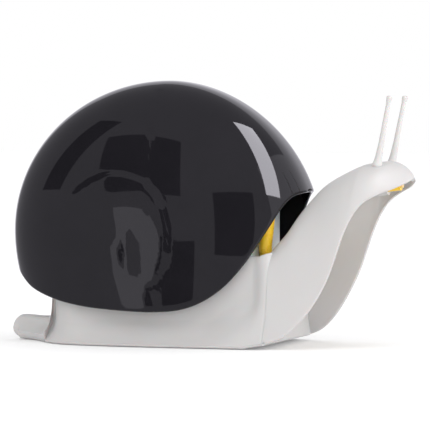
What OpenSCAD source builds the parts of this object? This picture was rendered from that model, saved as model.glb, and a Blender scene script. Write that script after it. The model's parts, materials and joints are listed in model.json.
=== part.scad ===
// Snail soap dispenser. A moulded snail body holds a soap bottle, and the shell
// sits on a lotion pump. Pressing the shell pumps soap through a hose that runs
// up inside the neck to the mouth.
// +X is the way the snail faces, +Z is up, and the origin is at the middle of the
// footprint, on the surface that the pads stand on.

/* [Overall] */
// Length from tail tip to nose
overall_len = 225; // [180:1:280]
// Width over the foot
overall_w = 88; // [78:1:110]
// Height of the shell crown above the table
overall_h = 141; // [130:1:175]

/* [Shell] */
// Wall thickness of the shell
shell_wall = 2.2; // [1.6:0.1:3]
// Height of the raised whorl on each side
relief_h = 1.6; // [0:0.1:2.4]
// Outer diameter of the boss under the crown
boss_d = 24; // [22:0.5:28]

/* [Snail body] */
// Wall thickness of the body moulding
body_wall = 2.8; // [2:0.1:3.4]
// Width of the tub that holds the bottle
tub_w = 58.4; // [56:0.1:62]
// Height of the tub rim above the table
tub_rim = 48.5; // [42:0.5:52]
// Height of the top of the tub floor
tub_floor = 6; // [5:0.5:9]
// Height of the opening that the hose passes through
hose_gate = 26; // [18:1:32]
// Width of the neck
neck_w = 64; // [60:0.5:68]
// Height that the pads stand proud of the foot
pad_proud = 0.5; // [0.3:0.1:1]
// Diameter of one anti-slip pad
pad_d = 12; // [8:0.5:14]

/* [Tentacles] */
// Distance between the two tentacles
tentacle_gap = 29.4; // [24:0.2:32]
// Diameter of the root peg
tentacle_peg_d = 3.8; // [3:0.1:5]
// Length of a tentacle above the head
tentacle_len = 37; // [25:1:40]
// Forward lean in degrees
tentacle_lean = 10; // [0:1:15]

/* [Bottle] */
// Width of the bottle
bottle_w = 52; // [46:0.5:53]
// Radius of the bottle's upright corners
bottle_corner = 20; // [14:0.5:22]
// Wall thickness of the bottle
bottle_wall = 1.2; // [0.8:0.1:2]
// Outer diameter of the bottle neck
finish_d = 27.4; // [26:0.2:30]
// Bore of the bottle neck
finish_bore = 22; // [20:0.5:23]
// Height of the bottle neck
finish_h = 17; // [14:0.5:20]

/* [Pump] */
// Travel of the pump and the shell
press_travel = 6; // [4:0.5:7]
// Outer diameter of the pump barrel
barrel_d = 17; // [15:0.5:19]
// Wall thickness of the pump barrel
barrel_wall = 1; // [0.8:0.1:1.5]
// Length of the pump barrel below its flange
barrel_len = 48; // [42:1:56]
// Outer diameter of the piston stem
stem_d = 7.5; // [6.5:0.1:9]
// Bore of the piston stem
stem_bore = 4.5; // [3:0.1:5]
// Height of the piston
piston_h = 7; // [5:0.5:9]
// Outer diameter of the screw collar
collar_d = 33; // [32:0.5:38]
// Height of the screw collar
collar_h = 18; // [16:0.5:20]
// Thread pitch of the collar
thread_pitch = 3.2; // [2:0.1:4]
// Diameter of the pump head
head_d = 28; // [24:0.5:32]
// Height of the pump head
head_h = 14; // [12:0.5:16]
// Diameter of the inlet valve ball
ball_d = 5; // [4:0.1:6]
// Lift of the inlet valve ball
ball_lift = 1.2; // [0.6:0.1:2]
// Outer diameter of the dip tube
tube_d = 6; // [5:0.1:7]
// Bore of the dip tube
tube_bore = 4; // [3:0.1:4.5]

/* [Spring] */
// Wire diameter of the return spring
wire_d = 1.1; // [0.8:0.1:1.3]
// Mean diameter of the return spring
coil_d = 11; // [10:0.2:12]
// Number of coils
coils = 8; // [6:1:9]

/* [Hose] */
// Outer diameter of the hose
hose_d = 7; // [5.5:0.1:7.5]
// Bore of the hose
hose_bore = 4.6; // [3.5:0.1:4.8]

/* [Fits] */
// Radial clearance of parts that slide or turn in each other
run_fit = 0.08; // [0.02:0.01:0.1]
// Radial clearance of parts that are pushed together
push_fit = 0.05; // [0.02:0.01:0.08]

/* [Hidden] */

// The outlines below are drawn at 225 x 88 x 141 and follow the overall sizes.
sx = overall_len / 225;
sy = overall_w / 88;
sz = overall_h / 141;
round_fn = 64;

// Shell: quarter superellipses about one centre, in side view.
shell_x = -22 * sx;
shell_z = 60 * sz;
rear_reach = 87 * sx;
front_reach = 82 * sx;
crown_reach = overall_h - shell_z;
under_reach = 90 * sz;
shell_half = overall_w / 2 - relief_h;
rear_cut = 194;
front_cut = 15.6;
rim_knots = [[-102, 36], [-93, 29.3], [-79, 24.2], [-64.9, 21.2], [-48.6, 19.4],
    [-20.6, 18.3], [-1.2, 20.7], [15.3, 29.4], [29, 43.7], [41, 62.6], [47, 73.6], [51, 79.2]];

// Pump stations, from the crown down.
pump_x = shell_x;
boss_top = overall_h - shell_wall + 0.1;
socket_h = 8.5;
socket_web = 2;
socket_d = boss_d - 4.8;
spigot_d = 14;
spigot_h = 6;
head_top = overall_h - 13;
head_bottom = head_top - head_h;
press_gap = 2;
collar_top = head_bottom - press_travel - press_gap;
collar_web = 2.5;
flange_t = 1.5;
gasket_t = 1;
flange_top = collar_top - collar_web;
flange_bottom = flange_top - flange_t;
finish_top = flange_bottom - gasket_t;
flange_d = finish_d - 0.6;
barrel_floor = flange_bottom - barrel_len;
barrel_bore = barrel_d - 2 * barrel_wall;
floor_t = 2.5;
cage_d = ball_d + 0.6;
seat_d = ball_d * 0.64;
cage_h = ball_d + ball_lift + 0.4;
seat_z = barrel_floor - cage_h;
seat_t = 1.5;
nipple_d = 9;
nipple_depth = 5;
tube_top = seat_z - seat_t;
ball_z = seat_z + sqrt(ball_d * ball_d - seat_d * seat_d) / 2 + 0.03;
stem_socket_h = 8;
stem_top = head_bottom + stem_socket_h;
spring_base = barrel_floor + 0.2;
spring_len = coils * wire_d + wire_d + press_travel + 6.5;
piston_z = spring_base + spring_len + 0.2;
piston_web = 3;
stem_bottom = piston_z + piston_web;
cap_flange_t = 1.5;
cap_plug_h = 5;
cap_d = 18.4;
hose_z = head_bottom + 6;
barb_d = hose_bore - 0.4;
barb_len = 9;

// Bottle.
bottle_rear = -76 * sx;
bottle_front = 36 * sx;
bottle_foot = tub_floor + 0.3;
shoulder_h = 11;
bottle_top = finish_top - finish_h;
bottle_side = bottle_top - shoulder_h;
shoulder_in = 9;
tube_bottom = bottle_foot + bottle_wall + 1.5;

// Snail body.
floor_t_body = 3;
recess_top = tub_floor - floor_t_body;
tub_half = tub_w / 2;
neck_half = neck_w / 2;
foot_half = overall_w / 2;
tub_rear = -85 * sx;
tub_turn = -60 * sx;
gate_x = 42 * sx;
gate_t = 2.8;
gate_nest = 1.6;
gate_taper = 6;
flare_back = 14 * sz;
flare_front = 36 * sz;
foot_inset = 8;
foot_knots = [[-112.5, 1.8], [-111.6, 3.4], [-110, 5], [-107, 6.6], [-102, 8.5],
    [-96, 13], [-88, 22.5], [-80, 30.5], [-71, 37], [-58, 40.6], [-46, 42.2],
    [-17, 44], [30, 44], [37, 43.6], [50, 43.4]];
tail_top_knots = [[-112.5, 8.4], [-111.6, 10.2], [-110, 12], [-107, 13.5], [-102, 13.4],
    [-96, 12.8], [-90, 13], [-87.4, 14.2], [-86, 16], [-85.4, 18.9]];
low_knots = [[-112.5, 5.2], [-111.6, 3.4], [-110, 1.8], [-107, 0.6], [-103, 0], [22, 0],
    [30, 0.2], [36, 0.8], [42, 1.7], [46, 2.2]];
back_stations = [-112.5, -111.6, -110, -107, -102, -96, -90, -87.4, -86, -85.4, -85, -83.8,
    -81.5, -78, -74, -68, -58, -46, -30, -12, 6, 16, 24, 32, 38, 42];
ridge_knots = [[41.5, 56], [48.7, 65], [55.6, 73.6], [64.9, 83.4], [71.2, 88.2],
    [79.6, 92.7], [85.9, 95.6], [90.1, 96.9], [99.7, 98.1], [105.9, 96.1],
    [110.6, 92.2], [112.5, 89.2]];
edge_knots = [[41.5, 2.2], [51.5, 6.3], [60.5, 14.5], [68.5, 26], [75, 39], [79.6, 52],
    [82.4, 60], [86.6, 69], [92, 76.2], [99.5, 81], [106, 83.9], [111.7, 87.4]];
head_start = 80 * sx;
head_reach = 32.6 * sx;
lip_reach = 0.955;
tentacle_x = 96.5 * sx;
tentacle_z = 96.2 * sz;
peg_depth = 5;
clip_t = 1.6;
clip_len = 5;
clip_peg_d = 3;
clip_drop = 14.5;
neck_clip_s = 0.2;
mouth_clip_s = 0.68;
mouth_drop = 11;
mouth_rise = 6;

// Hose route, drawn at the nominal size. The coupler joins its two lengths.
upper_knots = [[24, -9, 113.5], [33.5, -14.5, 101], [37.4, -17.5, 88]];
coupler_at = [38.3 * sx, -18.6 * sy, 76 * sz];
coupler_len = 10;
coupler_gap = 2;
coupler_flange = 1.2;
coupler_d = hose_bore - 0.9;
lower_knots = [[37.8, -19, 62], [36.8, -18.4, 50], [40.8, -15, 39.4], [50, -8.5, 35.6],
    [57.6, -3, 41.5], [60.6, 0, 51]];
bend_knots = [[77.5, 0, 76.5], [86, 0, 82]];

function smooth(t) = let (u = max(0, min(1, t))) u * u * (3 - 2 * u);
function mix(a, b, t) = a + (b - a) * t;
function side(p) = [p.x * sx, p.y * sz];
function sides(knots) = [for (p = knots) side(p)];
function space(knots) = [for (p = knots) [p.x * sx, p.y * sy, p.z * sz]];
function pick(v, i) = v[max(0, min(len(v) - 1, i))];
function knot_curve(a, b, c, d, t) =
    0.5 * (2 * b + (c - a) * t + (2 * a - 5 * b + 4 * c - d) * t * t
    + (3 * b - 3 * c + d - a) * t * t * t);
function along(knots, s) =
    let (n = len(knots) - 1, k = min(n - 1, floor(s * n)), t = s * n - k)
    knot_curve(pick(knots, k - 1), knots[k], knots[k + 1], pick(knots, k + 2), t);

// A sheet with thickness: grid a is its outside and grid b its inside.
function quad(a, b, c, d) = [[a, b, c], [a, c, d]];
function skin_faces(rows, cols) =
    let (n = rows * cols, last = cols - 1, end = (rows - 1) * cols)
    concat(
        [for (i = [0 : rows - 2], j = [0 : cols - 2], a = i * cols + j, b = a + cols)
            each concat(quad(a, a + 1, b + 1, b), quad(n + a, n + b, n + b + 1, n + a + 1))],
        [for (i = [0 : rows - 2], a = i * cols, b = a + cols)
            each concat(quad(a, b, n + b, n + a),
                quad(b + last, a + last, n + a + last, n + b + last))],
        [for (j = [0 : cols - 2], e = end + j)
            each concat(quad(j + 1, j, n + j, n + j + 1), quad(e, e + 1, n + e + 1, n + e))]);

module skin(a, b) {
    polyhedron([each for (row = a) row, each for (row = b) row],
        skin_faces(len(a), len(a[0])), convexity = 6);
}

// A closed solid through rings that all have the same number of points.
module loft(rings) {
    rows = len(rings);
    cols = len(rings[0]);
    sides_list = [for (i = [0 : rows - 2], j = [0 : cols - 1])
        let (k = (j + 1) % cols)
        each [[i * cols + j, (i + 1) * cols + k, i * cols + k],
            [i * cols + j, (i + 1) * cols + j, (i + 1) * cols + k]]];
    first_cap = [for (j = [0 : cols - 1]) j];
    last_cap = [for (j = [cols - 1 : -1 : 0]) (rows - 1) * cols + j];
    polyhedron([each for (ring = rings) ring], concat([first_cap], sides_list, [last_cap]),
        convexity = 6);
}

// Rings of a tube along a route, each square to it.
function heading(route, i) =
    let (d = pick(route, i + 1) - pick(route, i - 1)) d / norm(d);
function ring_at(centre, way, r, count, hint) =
    let (across = cross(hint, way) / norm(cross(hint, way)),
        up = cross(way, across))
    [for (k = [0 : count - 1])
        centre + r * (across * cos(360 * k / count) + up * sin(360 * k / count))];
function tube_rings(route, r, count) =
    [for (i = [0 : len(route) - 1]) ring_at(route[i], heading(route, i), r, count, [0, 1, 0])];

// A hose with a bore, as one closed skin.
module hose(route, outer_d, inner_d) {
    count = 10;
    rows = len(route);
    n = rows * count;
    points = [each for (ring = tube_rings(route, outer_d / 2, count)) ring,
        each for (ring = tube_rings(route, inner_d / 2, count)) ring];
    outside = [for (i = [0 : rows - 2], j = [0 : count - 1])
        let (k = (j + 1) % count)
        each [[i * count + j, (i + 1) * count + k, i * count + k],
            [i * count + j, (i + 1) * count + j, (i + 1) * count + k]]];
    inside = [for (f = outside) [n + f[0], n + f[2], n + f[1]]];
    start = [for (j = [0 : count - 1])
        let (k = (j + 1) % count)
        each [[j, k, n + k], [j, n + k, n + j]]];
    finish = [for (j = [0 : count - 1])
        let (k = (j + 1) % count, e = (rows - 1) * count)
        each [[e + j, n + e + k, e + k], [e + j, n + e + j, n + e + k]]];
    polyhedron(points, concat(outside, inside, start, finish), convexity = 10);
}

// Shell outline at a given wall depth d, and how far a side-view point lies in it.
function reach_x(right, d) = (right ? front_reach : rear_reach) - d;
function reach_z(up, d) = (up ? crown_reach : under_reach) - d;
function bulge(right) = right ? 1.87 : 2;
function depth_in(p, d) =
    let (right = p.x > shell_x, n = bulge(right))
    pow(abs(p.x - shell_x) / reach_x(right, d), n)
    + pow(abs(p.y - shell_z) / reach_z(p.y > shell_z, d), n);
function outline_at(angle, d) =
    let (way = [cos(angle), sin(angle)], n = bulge(way.x > 0),
        r = pow(pow(abs(way.x) / reach_x(way.x > 0, d), n)
            + pow(abs(way.y) / reach_z(way.y > 0, d), n), -1 / n))
    [shell_x, shell_z] + r * way;
function shell_side(p, d) = (shell_half - d) * pow(max(0.0003, 1 - depth_in(p, d)), 1 / 2.6);

// The raised whorl: a disc about its own centre, deepest at its upper front edge.
function whorl(p) =
    let (q = [p.x / sx + 34, p.y / sz - 51], a = atan2(q.y, q.x),
        edge = 33.5 + 9.5 * sin(a - 40))
    relief_h * (0.5 + 0.5 * cos(a - 65)) * smooth((edge - norm(q)) / 5);

shell_rows = 34;
shell_cols = 22;
function rim_curve(d) = concat([outline_at(rear_cut, d)], sides(rim_knots),
    [outline_at(front_cut, d)]);
function shell_point(i, j, d, relief) =
    let (t = mix(0.006, 0.994, (1 - cos(180 * i / (shell_rows - 1))) / 2),
        v = 2 * j / (shell_cols - 1) - 1,
        rise = 1 - pow(abs(v), 2),
        low = along(rim_curve(d), t),
        high = outline_at(mix(rear_cut, front_cut, t), d),
        p = mix(low, high, rise),
        y = shell_side(p, d) + (relief ? whorl(p) * smooth(abs(v) * 3) : 0))
    [p.x, v < 0 ? -y : y, p.y];
function shell_grid(d, relief) =
    [for (i = [0 : shell_rows - 1]) [for (j = [0 : shell_cols - 1])
        shell_point(i, j, d, relief)]];

// Body outlines in plan and section, in real millimetres.
function plan_half(x) = lookup(x / sx, foot_knots) * sy;
function tub_side(x) =
    x < tub_turn
        ? tub_half * sqrt(max(0.2, 1 - pow((tub_turn - x) / (tub_turn - tub_rear), 3)))
        : mix(tub_half, neck_half - 0.6, smooth((x / sx - 35) / 10));
function flare_top(x) = mix(flare_back, flare_front, smooth((x / sx - 5) / 40));
function in_tail(x) = x < tub_rear - 0.01;
function top_side(x) = in_tail(x) ? plan_half(x) * 0.5 : tub_side(x);
function body_top(x) = in_tail(x) ? lookup(x / sx, tail_top_knots) * sz : tub_rim;
function body_low(x) = pad_proud + lookup(x / sx, low_knots);

// Half a section, from the foot's edge up to the top edge.
function half_section(x) =
    let (low = body_low(x), top = body_top(x), wide = plan_half(x), narrow = top_side(x),
        knee = in_tail(x) ? top - (top - low) * 0.35 : min(top - 2, flare_top(x)),
        soft = in_tail(x) ? (top - low) * 0.25 : 0.8)
    concat([[wide * 0.8, low], [wide, low + (in_tail(x) ? (top - low) * 0.3 : 0.8)]],
        [for (q = [1 : 5]) [narrow + (wide - narrow) * pow(1 - q / 5, 1.8),
            mix(low + (in_tail(x) ? (top - low) * 0.3 : 0.8), knee, q / 5)]],
        [[narrow, top - soft], [narrow - soft * 0.3, top - soft * 0.3],
            [narrow - soft, top]]);
function back_ring(x, shrink) =
    let (half = half_section(x))
    concat([for (p = half) [x, p.x - shrink, p.y]],
        [for (i = [len(half) - 1 : -1 : 0]) [x, shrink - half[i].x, half[i].y]]);

// Neck and head: blend lines run from the open lower edge to the ridge.
neck_rows = 25;
neck_cols = 19;
function neck_side(p) =
    let (flare = neck_half + (foot_half - neck_half) * pow(max(0, 1 - p.y / flare_front), 2.2),
        u = max(0, min(1, (p.x - head_start) / head_reach)))
    flare * pow(1 - pow(u, 2.2), 0.55);
function ridge_at(s, d) =
    let (ridge = sides(ridge_knots), q = along(ridge, s),
        way = along(ridge, min(1, s + 0.01)) - along(ridge, max(0, s - 0.01)),
        down = [way.y, -way.x] / norm(way),
        drop = s < 0.02 ? [0, -d * 1.5] : down * d)
    q + drop;
function neck_point(i, j, d) =
    let (s = i / (neck_rows - 1),
        v = 2 * j / (neck_cols - 1) - 1,
        rise = pow(1 - pow(abs(v), 2.4), 0.75),
        low = along(sides(edge_knots), d > 0 ? s * lip_reach : s),
        p = mix(low, ridge_at(s, d), rise),
        m = mix(mix(6, 3.2, smooth(s / 0.25)), 2.4, smooth((s - 0.4) / 0.5)),
        y = max(1, neck_side(p) - d) * pow(max(0, 1 - pow(rise, m)), 1 / m))
    [p.x, v < 0 ? -y : y, p.y];
function neck_grid(d) =
    [for (i = [0 : neck_rows - 1]) [for (j = [0 : neck_cols - 1]) neck_point(i, j, d)]];

// Each clip hangs from the middle of the roof's wall, square to the hose.
function standing(q) = [q.x, 0, q.y];
function peg_way(way) = [-way.z, 0, way.x];
function roof_point(s) = standing(ridge_at(s, body_wall * 0.55));
neck_slope = ridge_at(neck_clip_s + 0.01, 0) - ridge_at(neck_clip_s - 0.01, 0);
clip_way = standing(neck_slope / norm(neck_slope));
clip_mid = roof_point(neck_clip_s) - clip_drop * peg_way(clip_way);
mouth_way = [cos(mouth_rise), 0, sin(mouth_rise)];
mouth_mid = roof_point(mouth_clip_s) - mouth_drop * peg_way(mouth_way);
mouth_end = mouth_mid + 9.5 * mouth_way;

module pump_axis() {
    translate([pump_x, 0, 0]) children();
}

module tentacle_place(way) {
    translate([tentacle_x, way * tentacle_gap / 2, tentacle_z])
        rotate([0, tentacle_lean, 0]) children();
}

module tub_space() {
    stations = [for (i = [0 : 18]) mix(tub_rear, tub_turn, i / 18)];
    inset = [for (x = stations) [x + body_wall, tub_side(x) - body_wall]];
    front = [for (i = [1 : 5]) let (x = mix(tub_turn, gate_x, i / 5))
        [x, tub_side(x) - body_wall]];
    half = concat(inset, front);
    translate([0, 0, tub_floor]) linear_extrude(overall_h)
        polygon(concat(half, [for (i = [len(half) - 1 : -1 : 0]) [half[i].x, -half[i].y]]));
}

module foot_recess() {
    stations = [for (x = [-84, -78, -70, -58, -46, -17, 30, 38]) x * sx];
    half = [for (x = stations) [x, plan_half(x) - foot_inset]];
    translate([0, 0, -1]) linear_extrude(recess_top + 1)
        polygon(concat(half, [for (i = [len(half) - 1 : -1 : 0]) [half[i].x, -half[i].y]]));
}

// The tub and tail, with a tapered front wall that ends inside the neck's own wall.
module snail_back() {
    rings = [for (x = back_stations) back_ring(x * sx, 0)];
    gate = [back_ring(gate_x + 1, gate_nest), back_ring(gate_x + gate_t, gate_taper)];
    gate_half = tub_half - body_wall - 3;
    difference() {
        loft(concat(rings, gate));
        tub_space();
        foot_recess();
        translate([gate_x - 1, -gate_half, hose_gate])
            cube([gate_t + 2, 2 * gate_half, overall_h]);
    }
}

module snail_body() {
    color("whitesmoke") difference() {
        union() {
            snail_back();
            skin(neck_grid(0), neck_grid(body_wall));
        }
        for (way = [-1, 1])
            tentacle_place(way) translate([0, 0, -peg_depth - 1])
                cylinder(d = tentacle_peg_d + 2 * push_fit, h = peg_depth + 6, $fn = 32);
        clip_peg(clip_mid, clip_way, clip_drop, clip_peg_d + 2 * push_fit);
        clip_peg(mouth_mid, mouth_way, mouth_drop, clip_peg_d + 2 * push_fit);
    }
}

module anti_slip_pads() {
    for (at = [[-66, 19], [24, 25]], way = [-1, 1])
        translate([at.x * sx, way * at.y * sy, 0])
            color("gainsboro") cylinder(d = pad_d, h = recess_top, $fn = round_fn);
}

module tentacle(way) {
    root_r = tentacle_peg_d / 2;
    color("whitesmoke") tentacle_place(way) rotate_extrude($fn = 32)
        polygon([[0, -peg_depth], [root_r, -peg_depth], [root_r, 1.2], [2.6, 1.2],
            [1.7, 5], [1.25, tentacle_len * 0.5], [1, tentacle_len - 3],
            [1.35, tentacle_len - 1.6], [1.3, tentacle_len - 0.6], [0.8, tentacle_len],
            [0, tentacle_len]]);
}

module left_tentacle() tentacle(1);
module right_tentacle() tentacle(-1);

function bottle_ring(z, inset) =
    let (wide = bottle_w / 2 - inset, r = bottle_corner - inset * 0.8,
        corners = [[bottle_front - inset - r, wide - r, 0], [bottle_rear + inset + r, wide - r, 90],
            [bottle_rear + inset + r, r - wide, 180], [bottle_front - inset - r, r - wide, 270]])
    [for (c = corners, k = [0 : 6])
        [c.x + r * cos(c.z + 15 * k), c.y + r * sin(c.z + 15 * k), z]];

module bottle_form(d) {
    loft([for (q = [[0, 2], [1.5, 0.4], [4, 0]]) bottle_ring(bottle_foot + d + q[0], q[1] + d),
        for (q = [0 : 5]) let (a = 90 * q / 5)
            bottle_ring(bottle_side + (shoulder_h - d) * sin(a),
                d + (1 - cos(a)) * shoulder_in * 0.66)]);
}

module bottle() {
    color("ivory") difference() {
        union() {
            bottle_form(0);
            pump_axis() translate([0, 0, bottle_top - 0.5])
                cylinder(d = finish_d, h = finish_h + 0.5, $fn = round_fn);
        }
        bottle_form(bottle_wall);
        pump_axis() translate([0, 0, bottle_top - 4])
            cylinder(d = finish_bore, h = finish_h + 8, $fn = round_fn);
    }
}

module pump_housing() {
    color("white") pump_axis() difference() {
        union() {
            translate([0, 0, flange_bottom]) cylinder(d = flange_d, h = flange_t, $fn = round_fn);
            translate([0, 0, barrel_floor - floor_t])
                cylinder(d = barrel_d, h = barrel_len + floor_t + 0.5, $fn = round_fn);
            translate([0, 0, tube_top - nipple_depth])
                cylinder(d = nipple_d, h = nipple_depth + seat_t + cage_h, $fn = round_fn);
        }
        translate([0, 0, barrel_floor])
            cylinder(d = barrel_bore, h = barrel_len + 10, $fn = round_fn);
        translate([0, 0, seat_z]) cylinder(d = cage_d, h = cage_h + 1, $fn = round_fn);
        translate([0, 0, tube_top - 1]) cylinder(d = seat_d, h = seat_t + 2, $fn = round_fn);
        translate([0, 0, tube_top - nipple_depth - 1])
            cylinder(d = tube_d + 2 * push_fit, h = nipple_depth + 1, $fn = round_fn);
    }
}

module neck_gasket() {
    color("silver") pump_axis() translate([0, 0, finish_top]) difference() {
        cylinder(d = flange_d, h = gasket_t, $fn = round_fn);
        translate([0, 0, -1]) cylinder(d = finish_bore, h = gasket_t + 2, $fn = round_fn);
    }
}

module housing_cap() {
    color("white") pump_axis() difference() {
        union() {
            translate([0, 0, flange_top]) cylinder(d = cap_d, h = cap_flange_t, $fn = round_fn);
            translate([0, 0, flange_top - cap_plug_h])
                cylinder(d = barrel_bore - 2 * push_fit, h = cap_plug_h + 0.5, $fn = round_fn);
        }
        translate([0, 0, flange_top - cap_plug_h - 1])
            cylinder(d = stem_d + 2 * run_fit, h = cap_plug_h + 10, $fn = round_fn);
    }
}

module dip_tube() {
    color("white") pump_axis() translate([0, 0, tube_bottom]) difference() {
        cylinder(d = tube_d, h = tube_top - tube_bottom, $fn = round_fn);
        translate([0, 0, -1])
            cylinder(d = tube_bore, h = tube_top - tube_bottom + 2, $fn = round_fn);
    }
}

module inlet_ball() {
    color("lightsteelblue") pump_axis() translate([0, 0, ball_z]) sphere(d = ball_d, $fn = 48);
}

module screw_collar() {
    ribs = 36;
    color("white") pump_axis() difference() {
        union() {
            translate([0, 0, collar_top - collar_h])
                cylinder(d = collar_d - 1, h = collar_h, $fn = round_fn);
            for (k = [0 : ribs - 1])
                rotate([0, 0, 360 * k / ribs])
                    translate([collar_d / 2 - 1, -0.6, collar_top - collar_h + 1])
                        cube([1, 1.2, collar_h - 3]);
        }
        translate([0, 0, collar_top - collar_h - 1])
            cylinder(d = finish_d + 2 * run_fit, h = collar_h - collar_web + 1, $fn = round_fn);
        translate([0, 0, collar_top - collar_web - 1])
            cylinder(d = cap_d + 2 * run_fit, h = collar_web + 2, $fn = round_fn);
    }
}

module stem() {
    color("white") pump_axis() translate([0, 0, stem_bottom]) difference() {
        cylinder(d = stem_d, h = stem_top - stem_bottom, $fn = round_fn);
        translate([0, 0, -1])
            cylinder(d = stem_bore, h = stem_top - stem_bottom + 2, $fn = round_fn);
    }
}

module piston() {
    color("gainsboro") pump_axis() translate([0, 0, piston_z]) difference() {
        cylinder(d = barrel_bore - 2 * run_fit, h = piston_h, $fn = round_fn);
        translate([0, 0, piston_web])
            cylinder(d = stem_d + 2 * push_fit, h = piston_h, $fn = round_fn);
        translate([0, 0, -1]) cylinder(d = stem_bore, h = piston_h, $fn = round_fn);
    }
}

module return_spring() {
    turns_per = 12;
    count = coils * turns_per;
    route = [for (i = [0 : count]) let (a = 360 * i / turns_per)
        [pump_x + coil_d / 2 * cos(a), coil_d / 2 * sin(a),
            spring_base + wire_d / 2 + (spring_len - wire_d) * i / count]];
    color("silver") loft([for (i = [0 : count])
        let (a = 360 * i / turns_per)
        ring_at(route[i], [-sin(a), cos(a), 0], wire_d / 2, 6, [0, 0, 1])]);
}

module pump_head() {
    color("white") pump_axis() difference() {
        union() {
            translate([0, 0, head_bottom]) cylinder(d = head_d, h = head_h, $fn = round_fn);
            translate([0, 0, head_top - 0.5])
                cylinder(d = spigot_d, h = spigot_h + 0.5, $fn = round_fn);
            translate([0, 0, hose_z]) rotate([0, 90, 0])
                cylinder(d = barb_d, h = head_d / 2 + barb_len, $fn = 32);
        }
        translate([0, 0, head_bottom - 1])
            cylinder(d = stem_d + 2 * push_fit, h = stem_socket_h + 1, $fn = round_fn);
        translate([0, 0, hose_z]) rotate([0, 90, 0])
            cylinder(d = barb_d - 1.6, h = head_d, $fn = 32);
    }
}

// Routes of the two lengths of hose.
hose_start = [pump_x + head_d / 2 + 0.5, 0, hose_z];
coupler_way = [1.3, -1, -26] / norm([1.3, -1, -26]);
coupler_top = coupler_at - coupler_way * coupler_gap / 2;
coupler_foot = coupler_at + coupler_way * coupler_gap / 2;
upper_route_knots = concat([hose_start, hose_start + [barb_len + 1, 0, 0],
    hose_start + [barb_len + 9, -1.6, 0.4]], space(upper_knots),
    [coupler_top - coupler_way * coupler_len / 2, coupler_top]);
lower_route_knots = concat([coupler_foot, coupler_foot + coupler_way * coupler_len / 2],
    space(lower_knots), [clip_mid - 4 * clip_way, clip_mid + 4 * clip_way],
    space(bend_knots), [mouth_mid - 5 * mouth_way, mouth_mid + 3 * mouth_way, mouth_end]);

function dense(knots, steps) =
    [for (i = [0 : steps]) along(knots, i / steps)];

module upper_hose() {
    color("gold") hose(dense(upper_route_knots, 3 * (len(upper_route_knots) - 1)),
        hose_d, hose_bore);
}

module lower_hose() {
    color("gold") hose(dense(lower_route_knots, 3 * (len(lower_route_knots) - 1)),
        hose_d, hose_bore);
}

module aim(way) {
    rotate([0, acos(way.z / norm(way)), atan2(way.y, way.x)]) children();
}

module hose_coupler() {
    color("white") translate(coupler_at) aim(coupler_way) difference() {
        union() {
            translate([0, 0, -coupler_flange / 2])
                cylinder(d = hose_d + 1, h = coupler_flange, $fn = 32);
            translate([0, 0, -coupler_len / 2])
                cylinder(d = coupler_d, h = coupler_len, $fn = 32);
        }
        translate([0, 0, -coupler_len])
            cylinder(d = coupler_d - 1.6, h = 2 * coupler_len, $fn = 32);
    }
}

// A ring that holds the hose, on a peg that plugs into the roof.
module clip_peg(middle, way, drop, d) {
    translate(middle) aim(peg_way(way)) cylinder(d = d, h = drop, $fn = 32);
}

module hose_clip(middle, way, drop) {
    color("white") difference() {
        union() {
            translate(middle) aim(way) translate([0, 0, -clip_len / 2])
                cylinder(d = hose_d + 2 * clip_t + 0.2, h = clip_len, $fn = 48);
            clip_peg(middle, way, drop, clip_peg_d);
        }
        translate(middle) aim(way) translate([0, 0, -20])
            cylinder(d = hose_d + 0.2, h = 40, $fn = 48);
    }
}

module neck_clip() hose_clip(clip_mid, clip_way, clip_drop);
module mouth_clip() hose_clip(mouth_mid, mouth_way, mouth_drop);

module drip_valve() {
    plug_d = hose_bore - 0.4;
    color("khaki") translate(mouth_end) aim(mouth_way) difference() {
        union() {
            translate([0, 0, -4]) cylinder(d = plug_d, h = 4, $fn = 32);
            cylinder(d = plug_d, h = 1.2, $fn = 32);
        }
        translate([0, 0, -5]) cylinder(d = plug_d - 1.4, h = 5, $fn = 32);
        translate([-0.2, -plug_d / 3, -1]) cube([0.4, plug_d / 1.5, 4]);
    }
}

module press_socket() {
    socket_bottom = head_top;
    color("dimgray") pump_axis() translate([0, 0, socket_bottom]) difference() {
        cylinder(d = socket_d, h = socket_h, $fn = round_fn);
        translate([0, 0, -1])
            cylinder(d = spigot_d + 2 * run_fit, h = socket_h - socket_web + 1, $fn = round_fn);
    }
}

module shell() {
    color([0.1, 0.1, 0.12]) union() {
        skin(shell_grid(0, true), shell_grid(shell_wall, false));
        pump_axis() translate([0, 0, head_top]) difference() {
            cylinder(d = boss_d, h = boss_top - head_top, $fn = round_fn);
            translate([0, 0, -1])
                cylinder(d = socket_d + 2 * push_fit, h = boss_top - head_top + 0.5,
                    $fn = round_fn);
        }
    }
}

snail_body();
anti_slip_pads();
left_tentacle();
right_tentacle();
bottle();
pump_housing();
neck_gasket();
housing_cap();
dip_tube();
inlet_ball();
screw_collar();
stem();
piston();
return_spring();
pump_head();
upper_hose();
hose_coupler();
lower_hose();
neck_clip();
mouth_clip();
drip_valve();
press_socket();
shell();
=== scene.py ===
# %% [markdown]
# # A snail that pumps soap
# A glossy black shell stands on a matte white snail. The shell is a push button over a
# bottle pump, and a yellow hose brings the soap up the neck to the mouth. The moving
# design is already made as CAD, so this lesson dresses it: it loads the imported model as
# a fixed frame, and builds the shell, body, hose, bottle and tentacles around it.

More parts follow.
